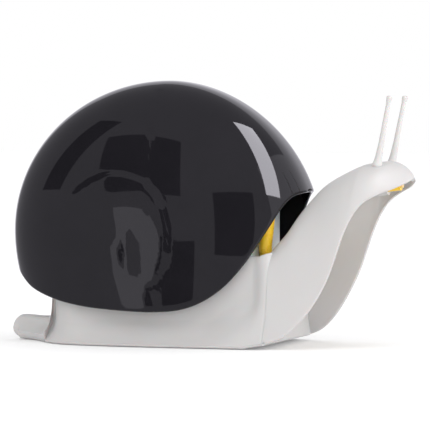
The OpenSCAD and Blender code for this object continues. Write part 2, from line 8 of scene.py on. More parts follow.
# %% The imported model
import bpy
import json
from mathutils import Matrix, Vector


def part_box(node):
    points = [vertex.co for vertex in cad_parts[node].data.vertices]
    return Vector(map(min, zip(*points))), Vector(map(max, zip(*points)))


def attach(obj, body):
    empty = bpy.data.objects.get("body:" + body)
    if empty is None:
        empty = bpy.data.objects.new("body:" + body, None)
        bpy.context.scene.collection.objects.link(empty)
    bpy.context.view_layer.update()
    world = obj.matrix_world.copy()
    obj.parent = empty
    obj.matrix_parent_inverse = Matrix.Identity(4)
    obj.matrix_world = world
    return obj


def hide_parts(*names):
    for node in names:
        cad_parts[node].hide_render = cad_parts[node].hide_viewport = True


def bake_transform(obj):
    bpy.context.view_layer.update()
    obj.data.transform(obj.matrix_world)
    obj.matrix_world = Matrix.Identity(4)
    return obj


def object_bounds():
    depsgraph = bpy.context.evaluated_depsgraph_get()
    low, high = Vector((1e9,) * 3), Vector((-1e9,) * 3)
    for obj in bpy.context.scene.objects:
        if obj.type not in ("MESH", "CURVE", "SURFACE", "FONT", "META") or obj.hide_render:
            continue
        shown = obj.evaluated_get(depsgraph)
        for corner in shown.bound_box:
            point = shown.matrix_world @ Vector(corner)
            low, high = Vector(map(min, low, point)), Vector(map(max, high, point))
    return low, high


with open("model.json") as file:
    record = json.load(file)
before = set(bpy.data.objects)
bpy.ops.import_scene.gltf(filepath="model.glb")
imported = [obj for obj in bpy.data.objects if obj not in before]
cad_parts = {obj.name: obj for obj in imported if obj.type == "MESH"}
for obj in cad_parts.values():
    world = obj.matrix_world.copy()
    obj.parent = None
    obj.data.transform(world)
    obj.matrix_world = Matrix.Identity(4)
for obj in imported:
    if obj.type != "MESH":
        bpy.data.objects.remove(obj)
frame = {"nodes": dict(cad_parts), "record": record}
cad_box = [list(corner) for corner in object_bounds()]

import json
import bpy
import numpy as np

MM = 0.001
print("nodes", len(frame["nodes"]), "box", cad_box)

# %% [markdown]
# ## One grid for every surface
# Every new piece is a grid of points worked out as whole arrays. A closed wall is a grid
# whose last column joins its first, so outside, lip and inside are one skin. The helper
# turns the grid into squares, adds the end faces, and turns the whole skin round if its
# volume comes out negative, which is how a wrong facing shows itself.

# %% Grid to mesh
def ring_squares(rows, cols):
    """Corners of the squares between neighbouring rows; the last column joins the first."""
    i, j = np.arange(rows - 1)[:, None], np.arange(cols)[None, :]
    k = (j + 1) % cols
    return np.stack([i * cols + j, i * cols + k, (i + 1) * cols + k, (i + 1) * cols + j],
                    -1).reshape(-1, 4).tolist()


def skin_volume(points, faces):
    """Sum over the faces of the tetrahedra they make with the origin, as fans of triangles."""
    tris = np.array([(f[0], f[k], f[k + 1]) for f in faces for k in range(1, len(f) - 1)])
    a, b, c = points[tris[:, 0]], points[tris[:, 1]], points[tris[:, 2]]
    return float(np.einsum("ij,ij->i", a, np.cross(b, c)).sum() / 6)


sharp_from = np.radians(40)


def make_piece(name, points, faces, body=None, stands_for=()):
    """A smooth-shaded object from points in millimetres, riding on a body of the frame."""
    points = np.asarray(points, float).reshape(-1, 3)
    volume = skin_volume(points, faces)
    if volume < 0:
        faces = [face[::-1] for face in faces]
    mesh = bpy.data.meshes.new(name)
    mesh.from_pydata((points * MM).tolist(), [], faces)
    mesh.polygons.foreach_set("use_smooth", np.ones(len(mesh.polygons), bool))
    mesh.set_sharp_from_angle(angle=sharp_from)
    mesh.update()
    piece = bpy.data.objects.new(name, mesh)
    bpy.context.collection.objects.link(piece)
    if stands_for:
        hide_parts(*stands_for)
    if body:
        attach(piece, body)
    print(name, "faces", len(faces), "cm3", round(abs(volume) / 1000, 2))
    return piece


# %% [markdown]
# ## Curves through a few knots
# Outlines are drawn with a handful of knots each. A Catmull-Rom curve passes through
# every knot, so the outline can be read off the list and still be smooth.

# %% Knot curves
def along(knots, s):
    """Points at shares s (0 to 1) of a Catmull-Rom curve: each span is a cubic whose end
    slopes are half the step between the knots on either side."""
    knots, s = np.asarray(knots, float), np.asarray(s, float)
    spans = len(knots) - 1
    k = np.clip(np.floor(s * spans), 0, spans - 1).astype(int)
    t = (s * spans - k)[..., None]
    a, b = knots[np.maximum(k - 1, 0)], knots[k]
    c, d = knots[k + 1], knots[np.minimum(k + 2, spans)]
    return 0.5 * (2 * b + (c - a) * t + (2 * a - 5 * b + 4 * c - d) * t ** 2
                  + (3 * b - 3 * c + d - a) * t ** 3)


def height_over(knots, x):
    """The curve through the knots, read off at x."""
    fine = along(knots, np.linspace(0, 1, 600))
    return np.interp(x, fine[:, 0], fine[:, 1])


def smooth(t):
    """Ease from 0 to 1: 3t squared less 2t cubed."""
    u = np.clip(t, 0, 1)
    return u * u * (3 - 2 * u)


def mix(a, b, t):
    """From a to b as t goes from 0 to 1."""
    return a + (b - a) * t


# %% [markdown]
# ## A hoop with thickness
# The shell and the neck are both thin walls bent over like a saddle. One hoop runs up the
# outside, rolls round the lip, comes back along the inside and rolls round the other lip.
# Four numbers say where a point of the hoop is: which side, how far up, how far round the
# lip, and how deep in the wall.

# %% Hoops
def hoop(outer_count, lip_count, crest):
    """side (-1 or 1), rise (0 at the lip, 1 at the crest), roll (sine of the turn round the
    lip) and depth (0 outside, 1 inside) for each column of a closed hoop."""
    v = np.linspace(-1, 1, outer_count)
    rise = 1 - np.abs(v) ** crest
    turn = np.pi * (np.arange(lip_count) + 1) / (lip_count + 1)
    flat = np.zeros(outer_count)
    side = np.concatenate([np.sign(v), np.ones(lip_count), -np.sign(v), -np.ones(lip_count)])
    rises = np.concatenate([rise, 0 * turn, rise, 0 * turn])
    roll = np.concatenate([flat, np.sin(turn), flat, np.sin(turn)])
    depth = np.concatenate([flat, (1 - np.cos(turn)) / 2, flat + 1, (1 + np.cos(turn)) / 2])
    return side, rises, roll, depth


def hoop_ends(rows, outer_count, lip_count):
    """Faces that close the first and the last hoop between outside and inside."""
    n, k = outer_count, lip_count
    cols = 2 * (n + k)
    inner = [n + k + (n - 1 - j) for j in range(n)]
    cap = [[j + 1, j, inner[j], inner[j + 1]] for j in range(n - 1)]
    cap.append(list(range(n + k, n - 2, -1)))
    cap.append([0] + list(range(cols - 1, 2 * n + k - 2, -1)))
    last = (rows - 1) * cols
    return cap + [[last + q for q in face[::-1]] for face in cap]


# %% [markdown]
# ## The shell
# The shell is a dome whose side view is four quarter superellipses about one centre, so
# its crown, back and front can have different reaches. Its width falls to nothing on the
# outline. A lip curve cuts the dome off below. The raised whorl is a disc whose radius
# shrinks as it turns, with a rounded step at its edge, and a small drop-shaped dent at its
# middle.

# %% Shell outline
crown, full_width = cad_box[1][2] / MM, (cad_box[1][1] - cad_box[0][1]) / MM
shell_at = np.array([-22.0, 60.0])
shell_wall = 2.2
shell_half = full_width / 2 - 1.6
reach_back, reach_front = 87.0, 82.0
reach_up, reach_down = crown - shell_at[1], 90.0
rear_angle, front_angle = 194.0, 15.6
front_power, rear_power, side_power = 1.87, 2.0, 2.6
lip_knots = [[-102, 36], [-93, 29.3], [-79, 24.2], [-64.9, 21.2], [-48.6, 19.4],
             [-20.6, 18.3], [-1.2, 20.7], [15.3, 29.4], [29, 43.7], [41, 62.6],
             [47, 73.6], [51, 79.2]]


def dome_share(x, z, wall):
    """Sum of the two superellipse terms: 0 at the centre and 1 on the outline."""
    front = x > shell_at[0]
    power = np.where(front, front_power, rear_power)
    across = np.where(front, reach_front, reach_back) - wall
    up = np.where(z > shell_at[1], reach_up, reach_down) - wall
    return (np.abs(x - shell_at[0]) / across) ** power + (np.abs(z - shell_at[1]) / up) ** power


def dome_outline(angle, wall):
    """The outline point in the direction of angle, in degrees, at a depth in the wall."""
    way = np.stack([np.cos(np.radians(angle)), np.sin(np.radians(angle))], -1)
    power = np.where(way[..., 0] > 0, front_power, rear_power)
    across = np.where(way[..., 0] > 0, reach_front, reach_back) - wall
    up = np.where(way[..., 1] > 0, reach_up, reach_down) - wall
    share = (np.abs(way[..., 0]) / across) ** power + (np.abs(way[..., 1]) / up) ** power
    return shell_at + way * (share ** (-1 / power))[..., None]


# %% Whorl
whorl_at = np.array([-34.0, 51.0])
whorl_turn = [-180, -130, -90, -60, -27, 7.5, 38, 71, 101, 132, 180]
whorl_reach = [42.0, 34.0, 27.0, 24.0, 23.4, 24.5, 29.0, 38.3, 42.0, 43.0, 42.0]
whorl_step, whorl_edge = 1.6, 3.2
dent_at, dent_half, dent_deep = np.array([-33.5, 49.0]), np.array([3.2, 11.0]), 1.1


def whorl_lift(x, z):
    """Height of the whorl: a quarter-round step at its spiral edge that fades in and out
    round the turn and towards the middle, less the dent."""
    q = np.stack([x, z], -1) - whorl_at
    turn, out = np.degrees(np.arctan2(q[..., 1], q[..., 0])), np.hypot(q[..., 0], q[..., 1])
    inside = np.clip((np.interp(turn, whorl_turn, whorl_reach) - out) / whorl_edge, 0, 1)
    fade = smooth((150 - turn) / 45) * smooth((turn + 75) / 60)
    step = whorl_step * fade * np.sqrt(1 - (1 - inside) ** 2) * smooth(out / 26)
    drop = ((x - dent_at[0]) / dent_half[0]) ** 2 + ((z - dent_at[1]) / dent_half[1]) ** 2
    return step - dent_deep * np.exp(-1.6 * drop)


# %% Shell skin
shell_rows, shell_outer, shell_lip = 210, 161, 12


def shell_skin():
    """Point = mix of lip curve and outline by the rise, then width from the dome share."""
    side, rise, roll, depth = (q[None, :] for q in hoop(shell_outer, shell_lip, 2.0))
    t = mix(0.006, 0.994, (1 - np.cos(np.pi * np.linspace(0, 1, shell_rows))) / 2)[:, None]
    angle = mix(rear_angle, front_angle, t)
    wall = shell_wall * depth
    high = dome_outline(angle + 0 * wall, wall)
    low = np.concatenate([[dome_outline(np.array(rear_angle), 0.0)], lip_knots,
                          [dome_outline(np.array(front_angle), 0.0)]])
    low = along(low, t) + 0 * high
    span = np.linalg.norm(high - low, axis=-1)
    lip = np.minimum(0.3, shell_wall / 2 / span)
    up = (lip + (1 - lip) * rise - lip * roll)[..., None]
    p = low + (high - low) * up
    share = dome_share(p[..., 0], p[..., 1], wall)
    width = (shell_half - wall) * np.maximum(1e-5, 1 - share) ** (1 / side_power)
    lift = whorl_lift(p[..., 0], p[..., 1]) * (1 - depth) * smooth((1 - rise) * 6)
    width = np.minimum(width + lift, full_width / 2)
    return np.stack([p[..., 0], side * width, p[..., 1]], -1)


shell_points = shell_skin()
shell = make_piece(
    "snail_shell", shell_points,
    ring_squares(shell_rows, shell_points.shape[1])
    + hoop_ends(shell_rows, shell_outer, shell_lip),
    body="cover", stands_for=["shell"])

# %% [markdown]
# ## The neck and head
# The neck is the same kind of hoop, drawn along two curves: the ridge on top and the free
# edge that climbs from the foot to the mouth. Where the neck leaves the foot its sides
# flare out, and towards the nose the plan closes like the end of a spoon.

# %% Neck skin
body_wall = 2.8
neck_half, foot_half, flare_top = 32.0, full_width / 2, 36.0
head_start, head_reach = 80.0, 32.6
ridge_knots = [[41.5, 56], [48.7, 65], [55.6, 73.6], [64.9, 83.4], [71.2, 88.2],
               [79.6, 92.7], [85.9, 95.6], [90.1, 96.9], [99.7, 98.1], [105.9, 96.1],
               [110.6, 92.2], [112.5, 89.2]]
edge_knots = [[41.5, 2.2], [51.5, 6.3], [60.5, 14.5], [68.5, 26], [75, 39], [79.6, 52],
              [82.4, 60], [86.6, 69], [92, 76.2], [99.5, 81], [106, 83.9], [111.7, 87.4]]
crest_knots = [[41.5, 53], [48.7, 61.4], [55.6, 72.2]] + ridge_knots[3:]
neck_rows, neck_outer, neck_lip = 190, 141, 12
seam_x, seam_soft, seam_gain = 41.5, 5.0, 0.2


def neck_half_width(x, z):
    """Half width: a flare that dies away at flare_top, times the plan of the head."""
    flare = neck_half + (foot_half - neck_half) * np.maximum(0, 1 - z / flare_top) ** 2.2
    u = np.clip((x - head_start) / head_reach, 0, 1)
    return flare * np.maximum(1 - u ** 2.2, 0) ** 0.55


def arch(rise, power):
    """Superellipse arch: full width at the foot and none at the crest."""
    return np.maximum(0, 1 - np.clip(rise, 0, 1) ** power) ** (1 / power)


def seam_fill(x, z):
    """Extra width that rounds the valley where tub and neck meet, higher up the more."""
    off = x - seam_x
    return seam_gain * np.clip(z / 46, 0, 1) ** 3 * (np.sqrt(off ** 2 + seam_soft ** 2) - np.abs(off))


def neck_skin():
    """Point = mix of edge and ridge by the rise; width = half width times the arch."""
    side, rise, roll, depth = (q[None, :] for q in hoop(neck_outer, neck_lip, 2.4))
    rise = np.where(roll > 0, 0, rise ** 0.75)
    s = np.linspace(0, 1, neck_rows)[:, None]
    wall = body_wall * depth
    ridge = along(crest_knots, s)
    way = along(crest_knots, np.minimum(1, s + 0.01)) - along(crest_knots,
                                                              np.maximum(0, s - 0.01))
    down = np.stack([way[..., 1], -way[..., 0]], -1)
    down /= np.linalg.norm(down, axis=-1)[..., None]
    high = ridge + down * wall[..., None]
    low = along(edge_knots, s * (1 - 0.045 * depth))
    span = np.linalg.norm(high - low, axis=-1)
    lip = np.minimum(0.3, body_wall / 2 / span)
    up = lip + (1 - lip) * rise - lip * roll
    p = low + (high - low) * up[..., None]
    power = mix(mix(5, 3.2, smooth(s / 0.3)), 2.4, smooth((s - 0.4) / 0.5))
    width = np.maximum(0.6, neck_half_width(p[..., 0], p[..., 1]) - wall) * arch(up, power)
    width = width + seam_fill(p[..., 0], p[..., 1]) * smooth((1 - up) * 5)
    return np.stack([p[..., 0], side * width, p[..., 1]], -1)


neck_points = neck_skin()
neck = make_piece("neck_and_head", neck_points,
                  ring_squares(neck_rows, neck_points.shape[1])
                  + hoop_ends(neck_rows, neck_outer, neck_lip),
                  body="base")

# %% [markdown]
# ## The foot, tub and tail
# Behind the neck the body is a tub on a spreading foot, and behind the tub it runs out
# into a flat tail that turns up at its end. A cross-section is drawn in two halves that
# meet on the rim: an outside path from under the foot and up the flare, and an inside path
# along the floor and up the wall. On the tail the inside path lies on top, so the same
# grid serves for both.

# %% Tub outlines
tub_half, tub_rim, tub_floor, foot_low = 29.2, 48.5, 6.0, 0.5
tub_rear, tub_turn, tub_front = -85.0, -60.0, 43.0
foot_knots = [[-112.5, 1.8], [-111.6, 3.4], [-110, 5], [-107, 6.6], [-102, 8.5],
              [-96, 13], [-88, 22.5], [-80, 30.5], [-71, 37], [-58, 40.6], [-46, 42.2],
              [-17, 44], [30, 44], [37, 43.9], [50, 43.8]]
tail_top_knots = [[-112.5, 8.4], [-111.6, 10.2], [-110, 12], [-107, 13.5], [-102, 13.4],
                  [-96, 12.8], [-90, 13], [-87.4, 14.2], [-86, 16], [-85.4, 18.9]]
low_knots = [[-112.5, 5.2], [-111.6, 3.4], [-110, 1.8], [-107, 0.6], [-103, 0], [-98, 0],
             [22, 0], [30, 0.2], [36, 0.8], [42, 1.75], [46, 2.4]]
section_count = [8, 8, 60, 7]
knee_rear, boxy, round_top = 14, 14, 5


def foot_width(x):
    """Half width of the foot's edge, never past the object's own half width."""
    return np.minimum(height_over(foot_knots, x), foot_half)


def tub_half_width(x):
    """Half width of the tub wall: rounded at the back, straight, and wider at the neck."""
    back = tub_half * np.sqrt(np.maximum(0.2, 1 - (np.maximum(0, tub_turn - x)
                                                   / (tub_turn - tub_rear)) ** 3))
    return np.where(x < tub_turn, back, mix(tub_half, neck_half, smooth((x - 33.5) / 8)))


def flared(x, z, low, high):
    """Half width of the outside at height z: the wall, plus a flare to the foot's edge that
    dies away at a knee. It turns into the neck's own flare at the front, later high up than
    low down, so that the shell's lip has room when it is pressed."""
    wide = foot_width(x)
    wall = np.where(x < tub_rear, wide * 0.5, tub_half_width(x))
    knee = np.where(x < tub_rear, high - (high - low) * 0.3,
                    mix(knee_rear, flare_top, smooth((x - 5) / 36.5)))
    share = np.clip(1 - (z - low) / np.maximum(knee - low, 0.1), 0, 1)
    plain = wall + (wide - wall) * share ** mix(1.8, 2.2, smooth((x - 10) / 31.5))
    power = mix(boxy, round_top, smooth((x - 22) / 19.5))
    rise = np.where(x > 10, z / np.interp(x, [30, 41.5], [60, 56]), 0)
    start = mix(12, 33, smooth(z / 26))
    near = smooth((x - start) / (41 - start))
    tuck = 1.1 * smooth((x - seam_x) / 0.8)
    bent = mix(plain, neck_half_width(x, z), near) * np.where(x > 10, arch(rise, power), 1)
    return bent + seam_fill(x, z) * smooth((x - 36.5) / 4) - tuck


def tub_top(x):
    """Height of the rim, or of the tail's back."""
    rim = np.interp(x, [-85, -84.6, -83.8, 30, 36, 39, 43],
                    [tub_rim - 1.6, tub_rim - 0.6, tub_rim, tub_rim, 48.3, 49.4, 50.5])
    return np.where(x < tub_rear, height_over(tail_top_knots, x), rim)


# %% Tub skin
def tub_stations():
    """Stations along x: close at the tail tip and the rear wall, then even."""
    tip = -112.5 + 8.5 * (1 - np.cos(np.linspace(0, np.pi / 2, 26)))
    wall = [-84.99, -84.8, -84.5, -84.1, -83.5, -82.8, -82.4, -82.2]
    return np.concatenate([tip[:-1], np.linspace(-104, -87, 26), np.linspace(-86.7, -85.4, 8),
                           wall, np.linspace(-81.8, tub_front, 110)])


def half_paths(x):
    """Outside and inside half sections, each from the middle to the rim, for each x."""
    under, edge, climb, roll = section_count
    x = x[:, None]
    low = foot_low + height_over(low_knots, x)
    top = tub_top(x)
    tail = x < tub_rear
    wide = foot_width(x)
    round_r = np.where(tail, (top - low) * 0.3, 1.0)
    rim_r = np.where(tail, (top - low) * 0.22, body_wall / 2)
    f = (np.arange(under) + 0.5)[None, :] / under
    a = (np.pi / 2 * (np.arange(edge) + 0.5) / edge)[None, :]
    foot_y = np.concatenate([(wide - round_r) * f, wide - round_r + round_r * np.sin(a)], 1)
    foot_z = np.concatenate([low + 0 * f, low + round_r * (1 - np.cos(a))], 1)
    q = np.linspace(0, 1, climb)[None, :] ** 1.2
    wall_z = mix(low + round_r, top - rim_r, q)
    wall_y = flared(x + 0 * wall_z, wall_z, low + round_r, top)
    b = (np.pi / 2 * (np.arange(roll) + 1) / (roll + 0.5))[None, :]
    rim_y = wall_y[:, -1:] - rim_r * (1 - np.cos(b))
    rim_z = top - rim_r * (1 - np.sin(b))
    outside = [np.concatenate([foot_y, wall_y, rim_y], 1),
               np.concatenate([foot_z, wall_z, rim_z], 1)]
    open_tub = smooth((x + 82.5) / 0.3)
    floor_half = tub_half_width(x) - body_wall - 3
    in_y = np.concatenate([floor_half * f, floor_half + 3 * np.sin(a)], 1)
    in_z = np.concatenate([tub_floor + 0 * f, tub_floor + 3 * (1 - np.cos(a))], 1) + 0 * x
    side_z = mix(tub_floor + 3, top - body_wall / 2, q)
    side_y = np.minimum(tub_half_width(x) - body_wall,
                        flared(x + 0 * side_z, side_z, low + round_r, top) - body_wall)
    back_y = side_y[:, -1:] + body_wall / 2 * (1 - np.cos(b))
    back_z = top - body_wall / 2 * (1 - np.sin(b))
    in_y = np.concatenate([in_y, side_y, back_y], 1)
    in_z = np.concatenate([in_z, side_z, back_z], 1)
    flat = np.linspace(0.01, 0.99, in_y.shape[1])[None, :]
    lid_y, lid_z = rim_y[:, -1:] * flat, top + 0 * flat
    return outside, [mix(lid_y, in_y, open_tub), mix(lid_z, in_z, open_tub)]


def tub_skin():
    """Each section is the right outside, right inside, left inside and left outside."""
    x = tub_stations()
    (out_y, out_z), (in_y, in_z) = half_paths(x)
    y = np.concatenate([-out_y, -in_y[:, ::-1], in_y, out_y[:, ::-1]], 1)
    z = np.concatenate([out_z, in_z[:, ::-1], in_z, out_z[:, ::-1]], 1)
    return np.stack([x[:, None] + 0 * y, y, z], -1)


def section_ends(rows, count):
    """Faces that close the first and last section between its outside and inside paths."""
    cols = 4 * count
    cap = []
    for j in range(count - 1):
        inner = 2 * count - 1 - j
        cap.append([j + 1, j, inner, inner - 1])
        cap.append([cols - 1 - j, cols - 2 - j, cols - 1 - inner + 1, cols - 1 - inner])
    cap.append([0, cols - 1, 2 * count, 2 * count - 1])
    last = (rows - 1) * cols
    return cap + [[last + q for q in face[::-1]] for face in cap]


tub_points = tub_skin()
tub = make_piece("foot_tub_and_tail", tub_points,
                 ring_squares(*tub_points.shape[:2])
                 + section_ends(tub_points.shape[0], sum(section_count)),
                 body="base", stands_for=["snail_body"])

# %% [markdown]
# ## The wall between tub and neck
# A low plate stops a spill from running into the neck, and the hose passes over it. Its
# ends run into the side walls, which are wider apart near the foot.

# %% Hose gate plate
plate_front, plate_t, plate_low, plate_top = 44.8, 2.8, 3.0, 26.0


def plate_skin():
    """Rows across the plate; columns round a rounded upright bar."""
    turn = np.linspace(0, 2 * np.pi, 48, endpoint=False)[None, :]
    half = np.array([plate_t / 2, (plate_top - plate_low) / 2])
    bar_x = plate_front - half[0] * (1 - np.sign(np.cos(turn)) * np.abs(np.cos(turn)) ** 0.35)
    bar_z = plate_low + half[1] * (1 + np.sign(np.sin(turn)) * np.abs(np.sin(turn)) ** 0.12)
    across = np.linspace(-1, 1, 25)[:, None]
    reach = neck_half_width(bar_x, bar_z) - 1.2
    return np.stack([bar_x + 0 * across, reach * across, bar_z + 0 * across], -1)


plate_points = plate_skin()
plate_cols = plate_points.shape[1]
plate_ends = [list(range(plate_cols - 1, -1, -1)),
              list(range(24 * plate_cols, 25 * plate_cols))]
plate = make_piece("hose_gate_plate", plate_points,
                   ring_squares(*plate_points.shape[:2]) + plate_ends,
                   body="base")

# %% [markdown]
# ## The tentacles
# Each tentacle is a soft pin that plugs into the head, thick at its root, slim in the
# middle and with a small bead at its tip. It leans and curves a little forwards.

# %% Tubes along a path
def across_path(path):
    """Two directions square to the path at each point, the first as near to +Y as it can."""
    way = np.gradient(path, axis=0)
    way /= np.linalg.norm(way, axis=1)[:, None]
    first = np.array([0.0, 1.0, 0.0]) - way * way[:, 1:2]
    first /= np.linalg.norm(first, axis=1)[:, None]
    return first, np.cross(way, first)


def swept(path, radius, count):
    """Circles of the given radii, square to the path: one row for each point of it."""
    turn = np.linspace(0, 2 * np.pi, count, endpoint=False)
    first, second = across_path(path)
    ring = (np.cos(turn)[None, :, None] * first[:, None, :]
            + np.sin(turn)[None, :, None] * second[:, None, :])
    return path[:, None, :] + radius[:, None, None] * ring


def tentacle(name, way):
    """A swept pin: its radius follows knots from the peg to the round tip."""
    root = np.array([96.5, way * 14.7, 96.2])
    knots = np.array([[-0.9, 0, -5.0], [0.0, 0, 0.0], [2.3, way * 0.3, 11.5],
                      [4.6, way * 0.7, 24.0], [7.1, way * 1.3, 36.4]]) + root
    s = np.concatenate([np.linspace(0, 0.9, 70), 0.9 + 0.1 * np.sin(np.linspace(
        0.02, np.pi / 2, 26))])
    path = along(knots, s)
    size = np.interp(s, [0, 0.2, 0.25, 0.3, 0.36, 0.5, 0.8, 0.9, 0.95, 0.975, 0.992, 1],
                     [1.9, 1.9, 3.1, 2.2, 1.85, 1.5, 1.15, 1.15, 1.55, 1.5, 1.0, 0.1])
    size = np.convolve(np.pad(size, 2, mode="edge"), np.ones(5) / 5, "valid")
    points = swept(path, size, 28)
    faces = ring_squares(*points.shape[:2])
    faces += [list(range(27, -1, -1)), list(range(95 * 28, 96 * 28))]
    return make_piece(name, points, faces, body="base", stands_for=[name[:-4]])


left_pin = tentacle("left_tentacle_pin", 1)
right_pin = tentacle("right_tentacle_pin", -1)

# %% [markdown]
# ## The hose
# The hose is a plain silicone tube in two lengths. The upper one starts on the pump
# head's barb, runs over the pump and down to a coupler. The lower one goes on down, turns
# in the foot and climbs the neck to the mouth. Both are drawn in one fixed shape and ride
# on no body, so they do not move with the pump.

# %% Hose routes
hose_outer, hose_bore = 7.0, 4.6
coupler_at = np.array([38.3, -18.6, 76.0])
coupler_way = np.array([1.3, -1.0, -26.0]) / np.linalg.norm([1.3, -1.0, -26.0])
coupler_gap, coupler_len = 2.0, 10.0
barb_start = np.array([-7.5, 0.0, crown - 21])
mouth_box = [np.array(corner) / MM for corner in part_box("drip_valve")]
upper_route = [barb_start, barb_start + [10, 0, 0], barb_start + [18, -1.6, 0.4],
               [24, -9, 113.5], [33.5, -14.5, 101], [37.4, -17.5, 88],
               coupler_at - coupler_way * (coupler_gap + coupler_len) / 2,
               coupler_at - coupler_way * coupler_gap / 2]


def roof_point(s, drop):
    """The point under the ridge, drop millimetres below the middle of the roof's wall, and
    the way the roof runs there."""
    way = along(ridge_knots, np.array(s + 0.01)) - along(ridge_knots, np.array(s - 0.01))
    way = way / np.linalg.norm(way)
    down = np.array([way[1], -way[0]])
    p = along(ridge_knots, np.array(s)) + down * (body_wall * 0.55 + drop)
    return np.array([p[0], 0, p[1]]), np.array([way[0], 0, way[1]])


neck_clip_share, neck_drop, mouth_clip_share, mouth_drop = 0.2, 14.5, 0.68, 11
mouth_rise = np.radians(6)
clip_mid, clip_way = roof_point(neck_clip_share, neck_drop)
mouth_way = np.array([np.cos(mouth_rise), 0, np.sin(mouth_rise)])
mouth_mid = roof_point(mouth_clip_share, 0)[0] - mouth_drop * np.array(
    [-mouth_way[2], 0, mouth_way[0]])
lower_route = [coupler_at + coupler_way * coupler_gap / 2,
               coupler_at + coupler_way * (coupler_gap + coupler_len) / 2,
               [37.8, -19, 62], [36.8, -18.4, 50], [40.8, -15, 39.4], [50, -8.5, 35.6],
               [57.6, -3, 41.5], [60.6, 0, 51], clip_mid - 4 * clip_way,
               clip_mid + 4 * clip_way, [77.5, 0, 76.5], [86, 0, 82],
               mouth_mid - 5 * mouth_way, mouth_mid + 3 * mouth_way,
               mouth_mid + 9.5 * mouth_way]
print("mouth end", mouth_mid + 9.5 * mouth_way, "drip valve box", mouth_box)


# %% Hose skin
def hose(name, route, stands_for):
    """A tube with a bore: the rows run out along the outside, over a flat ring at the far end and
    back through the bore, and the last row meets the first."""
    path = along(np.array(route, float), np.linspace(0, 1, 22 * (len(route) - 1)))
    length = np.linalg.norm(np.diff(path, axis=0), axis=1).sum()
    rows = len(path)
    outer = swept(path, np.full(rows, hose_outer / 2), 32)
    inner = swept(path, np.full(rows, hose_bore / 2), 32)
    points = np.concatenate([outer, inner[::-1]])
    faces = ring_squares(2 * rows, 32)
    start = [[k, (k + 1) % 32, (2 * rows - 1) * 32 + (k + 1) % 32, (2 * rows - 1) * 32 + k]
             for k in range(32)]
    faces += [face[::-1] for face in start]
    print(name, "length mm", round(length, 1))
    return make_piece(name, points, faces, stands_for=stands_for)


upper_hose = hose("upper_hose_tube", upper_route, ["upper_hose"])
lower_hose = hose("lower_hose_tube", lower_route, ["lower_hose"])
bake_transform(upper_hose)
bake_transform(lower_hose)

# %% [markdown]
# ## The bottle
# A blow-moulded bottle has one even wall, generous corners and a shoulder that rolls into
# its neck. Its section is a rectangle with round corners that shrinks up the shoulder, and
# turns into the circle of the neck.

# %% Bottle skin
bottle_box = [np.array(corner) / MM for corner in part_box("bottle")]
bottle_mid = (bottle_box[0] + bottle_box[1]) / 2
bottle_half = (bottle_box[1] - bottle_box[0]) / 2
neck_at, neck_r, bore_r = np.array([-22.0, 0.0]), 13.7, 11.0
shoulder_z, bottle_neck_z, finish_z = 72.5, 83.5, bottle_box[1][2]


def bottle_rings(inset, heights, rounding, circle):
    """Rings at the given heights: a superellipse inset from the bottle's sides, mixed with
    a circle of the given radius about the neck by the share in rounding."""
    turn = np.linspace(0, 2 * np.pi, 120, endpoint=False)[None, :]
    c, s = np.cos(turn), np.sin(turn)
    power = 0.52
    half = bottle_half[:2][None, :] - inset[:, None]
    box_x = bottle_mid[0] + half[:, :1] * np.sign(c) * np.abs(c) ** power
    box_y = bottle_mid[1] + half[:, 1:] * np.sign(s) * np.abs(s) ** power
    round_x, round_y = neck_at[0] + circle[:, None] * c, neck_at[1] + circle[:, None] * s
    x, y = mix(box_x, round_x, rounding[:, None]), mix(box_y, round_y, rounding[:, None])
    return np.stack([x, y, heights[:, None] + 0 * x], -1)


def bottle_side(wall):
    """Rings from the middle of the base, up the side, over the shoulder and up the neck."""
    base = bottle_box[0][2] + wall
    a = np.linspace(0, np.pi / 2, 12)
    foot = 5.0
    inset = np.concatenate([[24, 16, 10], foot * (1 - np.sin(a)), np.zeros(20)]) + wall
    z = np.concatenate([[base] * 3, base + foot * (1 - np.cos(a)),
                        np.linspace(base + foot + 2, shoulder_z, 20)])
    b = np.linspace(0.05, np.pi / 2, 22)
    rise = (bottle_neck_z - shoulder_z - wall) * np.sin(b)
    share = (1 - np.cos(b)) ** 1.2
    radius = (bore_r if wall else neck_r)
    neck_z = np.linspace(bottle_neck_z + 0.6, finish_z - 0.5, 10)
    inset = np.concatenate([inset, 6 * share + wall, np.full(10, 6.0)])
    z = np.concatenate([z, shoulder_z + rise, neck_z])
    rounding = np.concatenate([np.zeros(35), share, np.ones(10)])
    return bottle_rings(inset, z, rounding, np.full(len(z), radius))


outer_rings, inner_rings = bottle_side(0.0), bottle_side(1.2)
bottle_points = np.concatenate([outer_rings, inner_rings[::-1]])
bottle_faces = ring_squares(*bottle_points.shape[:2])
bottle_faces += [list(range(119, -1, -1)),
                 list(range((len(bottle_points) - 1) * 120, len(bottle_points) * 120))]
bottle = make_piece("soap_bottle", bottle_points, bottle_faces, body="base",
                    stands_for=["bottle"])

# %% [markdown]
# ## Finishes
# Moulded plastic is never quite even. Each finish mixes two near colours through slow
# noise, varies its roughness a little, and lifts a fine grain with a bump. A polished
# moulding has almost no grain but long, shallow waves, which is what bends its
# reflections.

